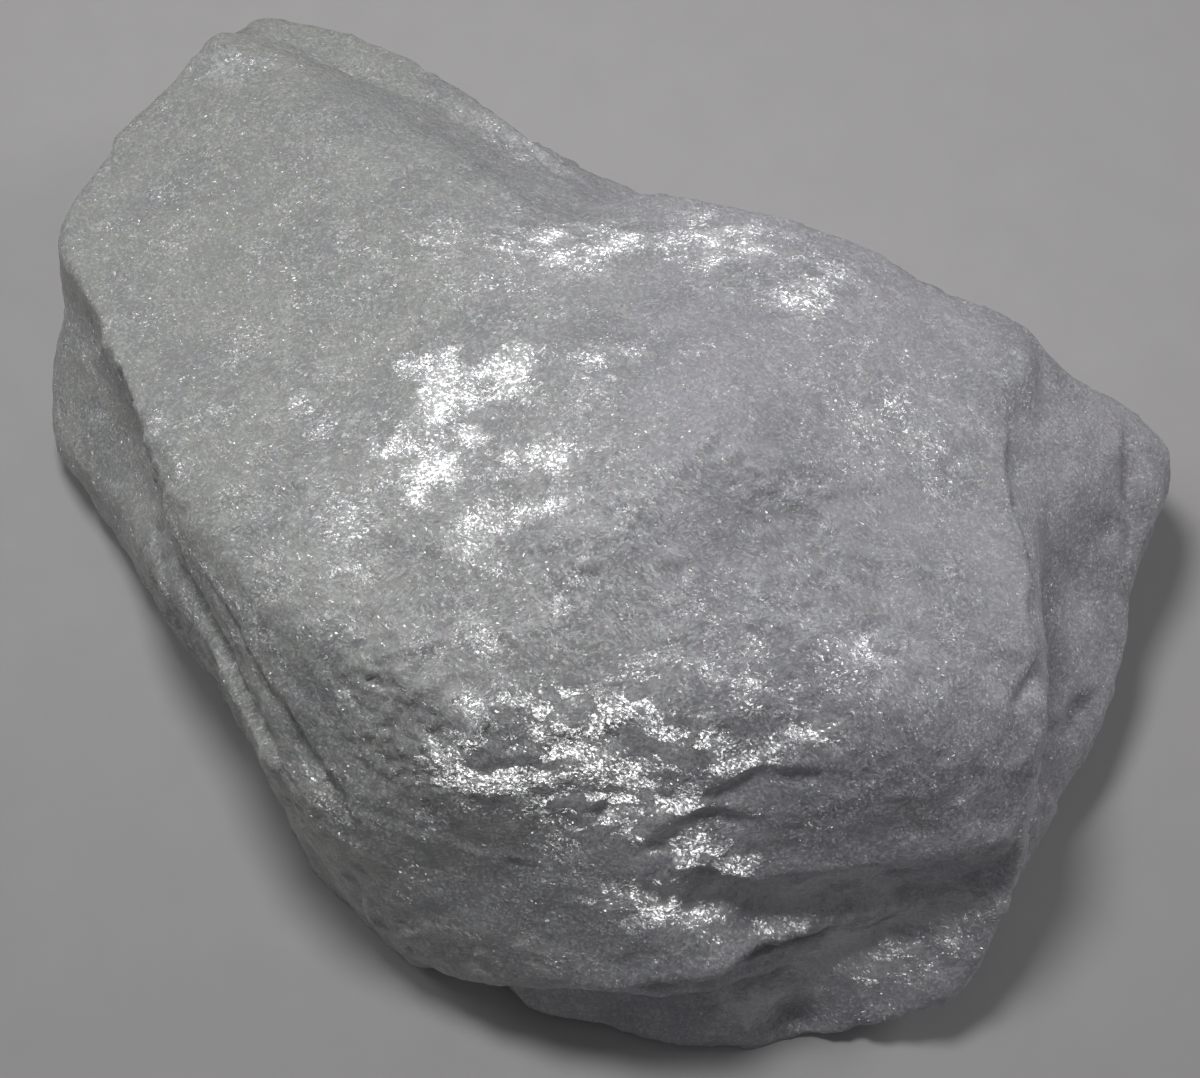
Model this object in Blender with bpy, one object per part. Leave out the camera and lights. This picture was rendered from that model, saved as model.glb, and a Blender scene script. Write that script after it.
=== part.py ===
"""A hand specimen of massive anhydrite: one broken stone of sugary, pale grey calcium sulphate.

The stone is modelled the way it broke. Each block is the space inside a few fracture faces, and each
face is a plane given by its azimuth, its tilt and how far it stands from the heart of the stone. All the
blocks hold the heart, so a ball around the heart can be drawn in or out until it lies on the outermost
block in every direction. Slow noise then bends the faces, and the bedding steps them.
"""

import itertools

import bpy
import numpy as np

MM = 0.001
NAME = "anhydrite"

# The heart of the stone, above the middle of the sole. Lengths are in millimetres until the last step.
HEART = np.array([0.0, 2.0, 16.0])

# Each face: azimuth in degrees anticlockwise from +X, tilt in degrees from straight up, reach in mm.
DOME_TOP = {
    "summit": (300, 3, 24.6),
    "front top": (275, 12, 24.9),
    "brow": (277, 24, 28.0),
    "lower brow": (279, 35, 31.4),
    "left front slope": (225, 14, 25.0),
    "west slope": (178, 15, 24.2),
    "north-west slope": (140, 17, 22.6),
    "north slope": (92, 21, 22.8),
    "north-east slope": (35, 23, 26.6),
    "east slope": (352, 21, 27.3),
    "east brow": (345, 36, 33.6),
}
DOME_SIDES = {
    "rear wall": (74, 76, 30.6),
    "rear left wall": (105, 64, 28.0),
    "north-east wall": (60, 75, 34.0),
    "right step": (0, 65, 39.8),
    "right wall": (350, 92, 42.0),
    "right front corner": (312, 52, 40.0),
    "right front wall": (320, 92, 47.2),
    "front slope": (268, 63, 35.4),
    "front right slope": (274, 48, 30.7),
    "left front bevel": (236, 52, 33.0),
    "left front corner": (243, 70, 36.0),
    "groove wall": (278, 90, 36.5),
    "left crest bevel": (205, 55, 36.2),
    "left scarp, back": (205, 86, 35.8),
    "left scarp, front": (212, 88, 36.2),
    "corner scarp": (221, 86, 36.8),
}
LOBE = {
    "top": (300, 5, 21.9),
    "west slope": (175, 14, 23.2),
    "north-west slope": (136, 17, 22.2),
    "north slope": (92, 20, 22.3),
    "east slope": (352, 27, 25.0),
    "ridge slope": (61, 52, 24.0),
    "north wall": (66, 76, 33.5),
    "north-west wall": (143, 80, 60.9),
    "tip": (104, 80, 62.5),
    "west wall": (172, 85, 54.6),
    "left crest bevel": (205, 55, 36.2),
    "left scarp": (203, 86, 36.2),
}
SHELF = {
    "top": (75, 14, 10.6),
    "north wall": (66, 75, 36.8),
    "north-east wall": (51, 75, 25.4),
    "north-west wall": (143, 82, 61.6),
    "tip": (104, 80, 62.5),
    "cap": (0, 0, 12.0),
}
LEDGE = {
    "top": (197, 54, 33.6),
    "west wall": (176, 88, 55.0),
    "south-west wall": (214, 90, 37.0),
    "north wall": (150, 84, 56.0),
    "front end": (268, 80, 26.0),
    "cap": (0, 0, 6.5),
}
LEFT_FOOT = {
    "top": (212, 50, 22.0),
    "wall": (219, 88, 36.8),
    "back end": (160, 80, 28.0),
    "front end": (290, 80, 25.0),
    "cap": (0, 0, 6.0),
}
SHOULDER = {
    "top": (355, 38, 31.0),
    "front slope": (325, 52, 33.0),
    "north wall": (60, 75, 33.2),
    "east wall": (10, 92, 55.2),
    "south-east wall": (350, 97, 52.3),
    "lower wall": (318, 95, 48.0),
    "front end": (258, 80, 23.0),
    "cap": (0, 0, 12.0),
}
NOSE = {
    "front slope": (268, 63, 35.4),
    "left front bevel": (236, 52, 33.0),
    "left front corner": (243, 70, 36.0),
    "left scarp": (212, 88, 36.2),
    "corner scarp": (221, 86, 36.8),
    "tier top": (292, 41, 25.8),
    "lip": (270, 100, 44.4),
    "under lip": (268, 130, 39.0),
    "right lip": (294, 98, 42.3),
    "under right lip": (292, 130, 36.5),
    "right wall": (335, 84, 44.0),
    "cap": (0, 0, 7.0),
}
FOOT = {
    "top": (262, 41, 17.2),
    "front wall": (274, 90, 45.4),
    "corner wall": (305, 90, 51.6),
    "right wall": (335, 92, 46.2),
    "left end": (228, 80, 32.5),
    "right end": (20, 80, 24.0),
    "cap": (0, 0, 6.0),
}
UNDERSIDE = {
    "sole": (0, 180, 16.0),
    "under back": (75, 150, 31.0),
    "under back left": (130, 150, 38.0),
    "under left": (195, 152, 34.0),
    "under front": (270, 150, 35.9),
    "under front right": (318, 142, 39.4),
    "under right": (345, 150, 32.8),
}

# The blocks around the dome, each with the azimuth it leans out to.
LEANING_BLOCKS = (
    (LOBE, 125),
    (SHELF, 95),
    (LEDGE, 195),
    (LEFT_FOOT, 225),
    (SHOULDER, 350),
    (NOSE, 275),
    (FOOT, 290),
)
# Behind the heart they stay shorter than the dome, which hides their other ends.
HIDDEN_REACH = 16.0
HIDDEN_TURNS = (120, 180, 240)

# How sharp the worn top, the broken edges and the hollow seams are: the higher, the sharper.
TOP_SHARPNESS = 30.0
EDGE_SHARPNESS = 60.0
SEAM_SHARPNESS = 140.0
TYPICAL_REACH = 40.0

# Slow noise: wavelength and amplitude. The first bends the edges, the second the faces.
EDGE_BENDS = ((30.0, 1.2), (12.0, 0.6))
FACE_BENDS = ((17.0, 0.9), (8.0, 0.5), (4.5, 0.25))
LATTICE = 32
LATTICE_SHIFT = 7.3

# The bedding: thin beds that dip a little towards the front right, and the steps they leave on a slope.
# BED_DIP is the way their upper side faces: azimuth and tilt, as for a face.
BED_DIP = (300, 14)
BED_HEIGHT = 3.2
BED_STEP = 0.9

# Shallow hollows where chips came away: middle, radius and depth.
HOLLOWS = {
    "notch by the step": ((37.0, 6.5, 28.5), 2.8, 1.3),
    "notch below it": ((37.8, 2.0, 28.0), 2.6, 1.0),
    "left of the lip": ((-9.0, -34.0, 22.0), 9.0, 1.4),
    "above the tier": ((25.0, -32.0, 22.0), 7.0, 1.0),
    "below the step": ((44.0, -7.0, 22.0), 5.5, 1.6),
    "crease by the knob": ((48.5, 4.0, 20.0), 2.0, 0.9),
    "crease below the knob": ((48.0, 0.5, 19.0), 2.0, 0.9),
    "filled ridge seam": ((-33.0, 46.0, 19.0), 7.0, -1.0),
    "filled ridge seam, middle": ((-20.0, 39.5, 19.0), 5.0, -0.8),
    "saddle": ((-6.0, 27.0, 28.0), 8.0, 1.2),
    "under the crest": ((-47.0, 8.0, 16.0), 7.0, 1.2),
    "foot notch": ((17.5, -42.0, 3.0), 2.6, 2.6),
    "swollen brow": ((23.0, -25.0, 29.5), 9.0, -1.4),
    "swollen brow, left": ((9.0, -24.0, 32.0), 6.5, -0.9),
}

BALL_SUBDIVISIONS = 7
EVENING_ROUNDS = 24
TRIANGLES = 9600


def lattice_noise(points, wavelength, seed, width=1):
    """Smooth noise between -1 and 1: random values on a cubic lattice, blended between the corners."""
    values = np.random.default_rng(seed).uniform(-1, 1, (LATTICE, LATTICE, LATTICE, width))
    cell, part = np.divmod(points / wavelength + LATTICE_SHIFT, 1.0)
    cell = cell.astype(int)
    blend = part**3 * (part * (6 * part - 15) + 10)
    total = np.zeros((len(points), width))
    for corner in itertools.product((0, 1), repeat=3):
        weight = np.where(corner, blend, 1 - blend).prod(axis=1)
        x, y, z = ((cell + corner) % LATTICE).T
        total += weight[:, None] * values[x, y, z]
    return total


def outward(azimuth, tilt):
    """The unit normal of a face."""
    a, t = np.radians(azimuth), np.radians(tilt)
    return np.array([np.cos(a) * np.sin(t), np.sin(a) * np.sin(t), np.cos(t)])


def nearest_face(directions, faces, sharpness):
    """One over the distance to the nearest face, eased where two are equally near."""
    total = np.full(len(directions), 1e-30)
    for azimuth, tilt, reach in faces:
        total += (np.clip(directions @ outward(azimuth, tilt), 0, None) * TYPICAL_REACH / reach) ** sharpness
    return total ** (1 / sharpness) / TYPICAL_REACH


def dome_reach(directions):
    """How far the dome reaches from the heart."""
    top = nearest_face(directions, DOME_TOP.values(), TOP_SHARPNESS)
    sides = nearest_face(directions, [*DOME_SIDES.values(), *UNDERSIDE.values()], EDGE_SHARPNESS)
    return 1 / np.linalg.norm([top, sides], ord=EDGE_SHARPNESS, axis=0)


def leaning_reach(directions, faces, leaning):
    """How far a block around the dome reaches from the heart."""
    hidden = [(leaning + turn, 90, HIDDEN_REACH) for turn in HIDDEN_TURNS]
    return 1 / nearest_face(directions, [*faces.values(), *UNDERSIDE.values(), *hidden], EDGE_SHARPNESS)


def stone_reach(directions):
    """How far the stone reaches from its heart: the outermost of its blocks."""
    bent = directions.copy()
    for seed, (wavelength, amplitude) in enumerate(EDGE_BENDS):
        bent += lattice_noise(directions * TYPICAL_REACH, wavelength, seed, 3) * amplitude / TYPICAL_REACH
    reaches = [dome_reach(bent)] + [leaning_reach(bent, *block) for block in LEANING_BLOCKS]
    return np.linalg.norm(np.array(reaches) / TYPICAL_REACH, ord=SEAM_SHARPNESS, axis=0) * TYPICAL_REACH


def bed_steps(points, normals):
    """How far the bedding stands out or in: a bed's edge stands out, and the slope falls back below it."""
    wander = lattice_noise(points, 22.0, 11)[:, 0] * 2.5 + lattice_noise(points, 6.0, 12)[:, 0] * 0.6
    bed, part = np.divmod((points @ outward(*BED_DIP) + wander) / BED_HEIGHT, 1.0)
    rise = np.clip((part - 0.75) / 0.25, 0, 1)
    saw = part - rise**2 * (3 - 2 * rise)
    across = 1 - np.clip(normals @ outward(*BED_DIP), -1, 1) ** 2
    patches = np.clip(0.35 + 1.2 * lattice_noise(points, 15.0, 13)[:, 0], 0, 1)
    return BED_STEP * saw * across * patches * (0.65 + 0.35 * np.sin(2.4 * bed))


def surface_points(directions):
    """The points of the fractured stone, before its faces are roughened."""
    return HEART + directions * stone_reach(directions)[:, None]


def vertex_normals(points, triangles):
    """The outward normal at each vertex, from the triangles around it, each weighed by its area."""
    a, b, c = points[triangles[:, 0]], points[triangles[:, 1]], points[triangles[:, 2]]
    flat = np.cross(b - a, c - a)
    normals = np.zeros_like(points)
    for corner in range(3):
        for axis in range(3):
            normals[:, axis] += np.bincount(triangles[:, corner], flat[:, axis], len(points))
    return normals / np.linalg.norm(normals, axis=1, keepdims=True)


def roughened(points, normals):
    """The points moved along their normals by the bedding, the slow noise and the hollows."""
    height = bed_steps(points, normals)
    for seed, (wavelength, amplitude) in enumerate(FACE_BENDS, start=20):
        height += amplitude * lattice_noise(points, wavelength, seed)[:, 0]
    for middle, radius, depth in HOLLOWS.values():
        height -= depth * np.exp(-(((points - middle) / radius) ** 2).sum(axis=1))
    return points + normals * height[:, None]


def evened(directions, edges):
    """The directions moved until the points on the stone lie about evenly along its surface."""
    ends = np.concatenate([edges, edges[:, ::-1]])
    neighbours = np.bincount(ends[:, 0], minlength=len(directions))[:, None]
    for _ in range(EVENING_ROUNDS):
        points = surface_points(directions)
        middle = np.stack([np.bincount(ends[:, 0], points[ends[:, 1], axis]) for axis in range(3)], axis=1)
        outwards = middle / neighbours - HEART
        directions = outwards / np.linalg.norm(outwards, axis=1, keepdims=True)
    return directions


def build_stone():
    """Makes the stone from a ball, with its origin under the middle of its bounding box."""
    bpy.ops.mesh.primitive_ico_sphere_add(subdivisions=BALL_SUBDIVISIONS, radius=1.0)
    stone = bpy.context.object
    stone.name = stone.data.name = NAME
    mesh = stone.data
    ball = np.empty(len(mesh.vertices) * 3)
    mesh.vertices.foreach_get("co", ball)
    ball = ball.reshape(-1, 3)
    edges = np.empty(len(mesh.edges) * 2, int)
    mesh.edges.foreach_get("vertices", edges)
    triangles = np.empty(len(mesh.polygons) * 3, int)
    mesh.polygons.foreach_get("vertices", triangles)
    triangles = triangles.reshape(-1, 3)

    directions = ball / np.linalg.norm(ball, axis=1, keepdims=True)
    points = surface_points(evened(directions, edges.reshape(-1, 2)))
    points = roughened(points, vertex_normals(points, triangles))
    points[:, 2] = np.maximum(points[:, 2], 0.0)
    points[:, :2] -= (points[:, :2].min(axis=0) + points[:, :2].max(axis=0)) / 2
    mesh.vertices.foreach_set("co", (points * MM).ravel())
    mesh.update()

    fewer = stone.modifiers.new("fewer triangles", "DECIMATE")
    fewer.ratio = TRIANGLES / len(triangles)
    fewer.use_collapse_triangulate = True
    return stone


def anhydrite_material():
    """Massive anhydrite: translucent, sugary, bluish grey."""
    material = bpy.data.materials.new("massive anhydrite")
    material.use_nodes = True
    shader = material.node_tree.nodes["Principled BSDF"]
    shader.inputs["Base Color"].default_value = (0.52, 0.52, 0.55, 1.0)
    shader.inputs["Roughness"].default_value = 0.45
    shader.inputs["IOR"].default_value = 1.57
    shader.inputs["Subsurface Weight"].default_value = 0.3
    shader.inputs["Subsurface Radius"].default_value = (0.004, 0.004, 0.004)
    return material


def main():
    for obj in list(bpy.data.objects):
        bpy.data.objects.remove(obj)
    stone = build_stone()
    stone.data.materials.append(anhydrite_material())
    stone.data.shade_smooth()
    stone.data.set_sharp_from_angle(angle=np.radians(50))
    for old in list(stone.users_collection):
        old.objects.unlink(stone)
    collection = bpy.data.collections.new(NAME)
    bpy.context.scene.collection.children.link(collection)
    collection.objects.link(stone)


if __name__ == "__main__":
    main()
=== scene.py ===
"""The looks of a hand specimen of massive anhydrite, lying on pale card under a soft studio light.

Anhydrite is calcium sulphate. In the mass it is a tight felt of small milky crystals, and where it broke
each crystal shows a cleavage face that glints like silk. The stone is made here in the way it broke:
fracture faces around a heart, then beds, hollows and scars, then small cleavage faces and grain.
"""

import itertools
import logging
from dataclasses import dataclass, field
from enum import Enum, IntEnum

import bpy
import numpy as np
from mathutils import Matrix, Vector


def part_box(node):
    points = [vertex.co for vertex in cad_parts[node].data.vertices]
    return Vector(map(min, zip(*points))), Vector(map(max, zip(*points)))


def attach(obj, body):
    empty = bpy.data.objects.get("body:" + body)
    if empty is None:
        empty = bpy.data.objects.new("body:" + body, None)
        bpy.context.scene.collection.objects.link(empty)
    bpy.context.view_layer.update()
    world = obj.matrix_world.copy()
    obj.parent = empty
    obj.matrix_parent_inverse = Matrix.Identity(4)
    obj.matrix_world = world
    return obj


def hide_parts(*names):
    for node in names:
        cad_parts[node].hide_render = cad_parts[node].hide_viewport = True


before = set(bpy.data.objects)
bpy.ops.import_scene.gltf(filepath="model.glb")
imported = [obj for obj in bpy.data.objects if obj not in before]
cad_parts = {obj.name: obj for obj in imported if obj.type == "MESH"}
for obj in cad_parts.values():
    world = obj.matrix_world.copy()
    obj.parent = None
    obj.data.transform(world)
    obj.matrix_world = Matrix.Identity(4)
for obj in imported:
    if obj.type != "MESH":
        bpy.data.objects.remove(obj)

MM = 0.001
log = logging.getLogger("anhydrite")

Pair = tuple[float, float]
Place = tuple[float, float, float]
Faces = dict[str, Place]
Layers = tuple[Pair, ...]
Array = np.ndarray
Tree = bpy.types.NodeTree
Socket = bpy.types.NodeSocket


# Directions, noise, cells and objects ------------------------


def outward(azimuth: float, tilt: float) -> Array:
    """The unit vector at an azimuth anticlockwise from +X and a tilt from straight up.

    Args:
        azimuth: degrees.
        tilt: degrees.

    Returns:
        (cos a sin t, sin a sin t, cos t).
    """
    a, t = np.radians(azimuth), np.radians(tilt)
    return np.array([np.cos(a) * np.sin(t), np.sin(a) * np.sin(t), np.cos(t)])


class Seed(IntEnum):
    """Which noise each pattern takes. A pattern of several noises takes the numbers after it as well."""

    EDGE_BENDS = 0
    FACE_BENDS = 20
    FACET_BENDS = 50
    FACETS = 51
    ROUGH_REGIONS = 52
    GRAIN = 53
    CHIPS = 56
    CRUMBS = 57
    FRESH_BENDS = 60
    FRESH_PATCHES = 62
    FRAYED_SCARS = 71


def lattice_noise(points: Array, wavelength: float, seed: int, width: int = 1) -> Array:
    """Smooth noise between -1 and 1: random values on a cubic lattice, blended between the corners.

    Args:
        points: places, one to a row.
        wavelength: the lattice's spacing.
        seed: which noise.
        width: how many values to give at each place.

    Returns:
        An array of len(points) rows and width columns.
    """
    lattice, off_centre = 32, 7.3
    values = np.random.default_rng(seed).uniform(-1, 1, (lattice, lattice, lattice, width))
    cell, part = np.divmod(points / wavelength + off_centre, 1.0)
    cell = cell.astype(int)
    blend = part**3 * (part * (6 * part - 15) + 10)  # 6t^5 - 15t^4 + 10t^3
    total = np.zeros((len(points), width))
    for corner in itertools.product((0, 1), repeat=3):
        weight = np.where(corner, blend, 1 - blend).prod(axis=1)
        x, y, z = ((cell + corner) % lattice).T
        total += weight[:, None] * values[x, y, z]
    return total


def layered_noise(points: Array, layers: Layers, seed: int, width: int = 1) -> Array:
    """The sum of some noises.

    Args:
        points: places, one to a row.
        layers: each noise's wavelength and height.
        seed: the first noise's. Each after it has the next one.
        width: how many values to give at each place.

    Returns:
        An array of len(points) rows and width columns.
    """
    total = np.zeros((len(points), width))
    for number, (wavelength, height) in enumerate(layers):
        total += height * lattice_noise(points, wavelength, seed + number, width)
    return total


def nearest_seeds(points: Array, spacing: float, seed: int) -> tuple[Array, Array]:
    """Which seed of a jittered lattice lies nearest to each point.

    Args:
        points: places, one to a row.
        spacing: the lattice's spacing.
        seed: which lattice.

    Returns:
        The offset from the seed to each point, and three random numbers of that seed between -1 and 1.
    """
    lattice = 64
    random = np.random.default_rng(seed)
    jitter = random.uniform(0.1, 0.9, (lattice, lattice, lattice, 3))
    marks = random.uniform(-1, 1, (lattice, lattice, lattice, 3))
    cell = np.floor(points / spacing).astype(int)
    best = np.full(len(points), np.inf)
    offset, mark = np.zeros_like(points), np.zeros_like(points)
    for step in itertools.product((-1, 0, 1), repeat=3):
        near = cell + step
        x, y, z = (near % lattice).T
        gap = points - (near + jitter[x, y, z]) * spacing
        distance = (gap**2).sum(axis=1)
        closer = distance < best
        best[closer] = distance[closer]
        offset[closer] = gap[closer]
        mark[closer] = marks[x, y, z][closer]
    return offset, mark


def put(name: str, data: bpy.types.ID) -> bpy.types.Object:
    """Puts a new object in the scene.

    Args:
        name: its name.
        data: its mesh, light or camera.

    Returns:
        The object.
    """
    placed = bpy.data.objects.new(name, data)
    bpy.context.scene.collection.objects.link(placed)
    return placed


# The ball that the stone is drawn from -----------------------


class BallSide(Enum):
    """The six sides of the ball, each with the ways its two parameters run. Their cross product faces out."""

    RIGHT = ((0, 1, 0), (0, 0, 1))
    LEFT = ((0, 0, 1), (0, 1, 0))
    BACK = ((0, 0, 1), (1, 0, 0))
    FRONT = ((1, 0, 0), (0, 0, 1))
    TOP = ((1, 0, 0), (0, 1, 0))
    BOTTOM = ((0, 1, 0), (1, 0, 0))


@dataclass
class BallGrid:
    """A ball as six square grids of two parameters, sewn along their seams.

    Attributes:
        cells: how many cells each side has along each parameter.
    """

    cells: int
    places: Array = field(init=False)
    directions: Array = field(init=False)

    def __post_init__(self) -> None:
        """Lays out the grids: direction = way out + u tan(a) + v tan(b), a and b from -45 to 45 degrees."""
        across = np.tan(np.linspace(-np.pi / 4, np.pi / 4, self.cells + 1))
        sides = []
        for side in BallSide:
            u, v = (np.array(way, float) for way in side.value)
            sides.append(np.cross(u, v) + across[:, None, None] * u + across[None, :, None] * v)
        box = np.array(sides).reshape(-1, 3)
        _, first, back = np.unique(np.round(box, 6), axis=0, return_index=True, return_inverse=True)
        self.places = back.reshape(len(BallSide), self.cells + 1, self.cells + 1)
        self.directions = box[first] / np.linalg.norm(box[first], axis=1, keepdims=True)

    def quads(self) -> Array:
        """The corners of every cell.

        Returns:
            Four places to a row, anticlockwise seen from outside.
        """
        p = self.places
        corners = (p[:, :-1, :-1], p[:, 1:, :-1], p[:, 1:, 1:], p[:, :-1, 1:])
        return np.stack(corners, axis=-1).reshape(-1, 4)

    def links(self) -> Array:
        """The ends of every grid line.

        Returns:
            Two places to a row, and each line both ways round.
        """
        p = self.places
        along = np.stack([p[:, :-1], p[:, 1:]], axis=-1).reshape(-1, 2)
        across = np.stack([p[:, :, :-1], p[:, :, 1:]], axis=-1).reshape(-1, 2)
        ends = np.concatenate([along, across])
        return np.concatenate([ends, ends[:, ::-1]])

    def finer(self, directions: Array) -> "tuple[BallGrid, Array]":
        """The grid with every cell cut in four, and the directions carried over to it.

        Args:
            directions: this grid's directions, as they have been moved.

        Returns:
            The finer grid, and its directions, halfway between the old ones where they are new.
        """
        grid = BallGrid(self.cells * 2)
        old = directions[self.places]
        new = np.zeros(grid.places.shape + (3,))
        new[:, ::2, ::2] = old
        new[:, 1::2, ::2] = (old[:, :-1] + old[:, 1:]) / 2
        new[:, :, 1::2] = (new[:, :, :-1:2] + new[:, :, 2::2]) / 2
        carried = np.zeros_like(grid.directions)
        carried[grid.places.ravel()] = new.reshape(-1, 3)
        return grid, carried / np.linalg.norm(carried, axis=1, keepdims=True)


def vertex_normals(points: Array, quads: Array) -> Array:
    """The outward normal at each vertex: the sum of the crossed diagonals of the cells around it.

    Args:
        points: the vertices.
        quads: the cells' corners.

    Returns:
        One unit vector for each vertex.
    """
    a, b, c, d = (points[quads[:, corner]] for corner in range(4))
    flat = np.cross(c - a, d - b)
    normals = np.zeros_like(points)
    for corner, axis in itertools.product(range(4), range(3)):
        normals[:, axis] += np.bincount(quads[:, corner], flat[:, axis], len(points))
    return normals / np.linalg.norm(normals, axis=1, keepdims=True)


# The stone ---------------------------------------------------


@dataclass(frozen=True)
class Block:
    """The space inside some fracture faces, which holds the heart of the stone.

    Attributes:
        faces: each face's azimuth and tilt in degrees, and its distance from the heart in mm.
        leaning: the azimuth that the block leans out to. Behind the heart the dome hides its other end.
    """

    faces: Faces
    leaning: float


DOME_TOP: Faces = {
    "summit": (300, 3, 24.6),
    "front top": (275, 12, 24.9),
    "brow": (277, 24, 28),
    "lower brow": (279, 35, 31.4),
    "left front slope": (225, 14, 25),
    "west slope": (178, 15, 24.2),
    "north-west slope": (140, 17, 22.6),
    "north slope": (92, 21, 22.8),
    "north-east slope": (35, 23, 26.6),
    "east slope": (352, 21, 27.3),
    "east brow": (345, 36, 33.6),
}
DOME_SIDES: Faces = {
    "rear wall": (74, 76, 30.6),
    "rear left wall": (105, 64, 28),
    "north-east wall": (60, 75, 34),
    "right step": (0, 65, 39.8),
    "right wall": (350, 92, 42),
    "right front corner": (312, 52, 40),
    "right front wall": (320, 92, 47.2),
    "front slope": (268, 63, 35.4),
    "front right slope": (274, 48, 30.7),
    "left front bevel": (236, 52, 33),
    "left front corner": (243, 70, 36),
    "groove wall": (278, 90, 36.5),
    "left crest bevel": (205, 55, 36.2),
    "left scarp, back": (205, 86, 35.8),
    "left scarp, front": (212, 88, 36.2),
    "corner scarp": (221, 86, 36.8),
}
LOBE = Block({
    "top": (300, 5, 21.9),
    "west slope": (175, 14, 23.2),
    "north-west slope": (136, 17, 22.2),
    "north slope": (92, 20, 22.3),
    "east slope": (352, 27, 25),
    "ridge slope": (61, 52, 24),
    "north wall": (66, 76, 33.5),
    "north-west wall": (143, 80, 60.9),
    "tip": (104, 80, 62.5),
    "west wall": (172, 85, 54.6),
    "left crest bevel": (205, 55, 36.2),
    "left scarp": (203, 86, 36.2),
}, leaning=125)
SHELF = Block({
    "top": (75, 14, 10.6),
    "north wall": (66, 75, 36.8),
    "north-east wall": (51, 75, 25.4),
    "north-west wall": (143, 82, 61.6),
    "tip": (104, 80, 62.5),
    "cap": (0, 0, 12),
}, leaning=95)
LEDGE = Block({
    "top": (197, 54, 33.6),
    "west wall": (176, 88, 55),
    "south-west wall": (214, 90, 37),
    "north wall": (150, 84, 56),
    "front end": (268, 80, 26),
    "cap": (0, 0, 6.5),
}, leaning=195)
LEFT_FOOT = Block({
    "top": (212, 50, 22),
    "wall": (219, 88, 36.8),
    "back end": (160, 80, 28),
    "front end": (290, 80, 25),
    "cap": (0, 0, 6),
}, leaning=225)
SHOULDER = Block({
    "top": (355, 38, 31),
    "front slope": (325, 52, 33),
    "north wall": (60, 75, 33.2),
    "east wall": (10, 92, 55.2),
    "south-east wall": (350, 97, 52.3),
    "lower wall": (318, 95, 48),
    "front end": (258, 80, 23),
    "cap": (0, 0, 12),
}, leaning=350)
NOSE = Block({
    "front slope": (268, 63, 35.4),
    "left front bevel": (236, 52, 33),
    "left front corner": (243, 70, 36),
    "left scarp": (212, 88, 36.2),
    "corner scarp": (221, 86, 36.8),
    "tier top": (292, 41, 25.8),
    "lip": (270, 100, 44.4),
    "under lip": (268, 130, 39),
    "right lip": (294, 98, 42.3),
    "under right lip": (292, 130, 36.5),
    "right wall": (335, 84, 44),
    "cap": (0, 0, 7),
}, leaning=275)
FOOT = Block({
    "top": (262, 41, 17.2),
    "front wall": (274, 90, 45.4),
    "corner wall": (305, 90, 51.6),
    "right wall": (335, 92, 46.2),
    "left end": (228, 80, 32.5),
    "right end": (20, 80, 24),
    "cap": (0, 0, 6),
}, leaning=290)
UNDERSIDE: Faces = {
    "sole": (0, 180, 16),
    "under back": (75, 150, 31),
    "under back left": (130, 150, 38),
    "under left": (195, 152, 34),
    "under front": (270, 150, 35.9),
    "under front right": (318, 142, 39.4),
    "under right": (345, 150, 32.8),
}
# Shallow hollows where chips came away: middle, radius and depth. Where the depth is negative they swell.
HOLLOWS: dict[str, tuple[Place, float, float]] = {
    "notch by the step": ((37, 6.5, 28.5), 2.8, 1.3),
    "notch below it": ((37.8, 2, 28), 2.6, 1),
    "left of the lip": ((-9, -34, 22), 9, 1.4),
    "above the tier": ((25, -32, 22), 7, 1),
    "below the step": ((44, -7, 22), 5.5, 1.6),
    "crease by the knob": ((48.5, 4, 20), 2, 0.9),
    "crease below the knob": ((48, 0.5, 19), 2, 0.9),
    "filled ridge seam": ((-33, 46, 19), 7, -1),
    "filled ridge seam, middle": ((-20, 39.5, 19), 5, -0.8),
    "saddle": ((-6, 27, 28), 8, 1.2),
    "under the crest": ((-47, 8, 16), 7, 1.2),
    "foot notch": ((17.5, -42, 3), 2.6, 2.6),
    "swollen brow": ((23, -25, 29.5), 9, -1.4),
    "swollen brow, left": ((9, -24, 32), 6.5, -0.9),
}


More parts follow.
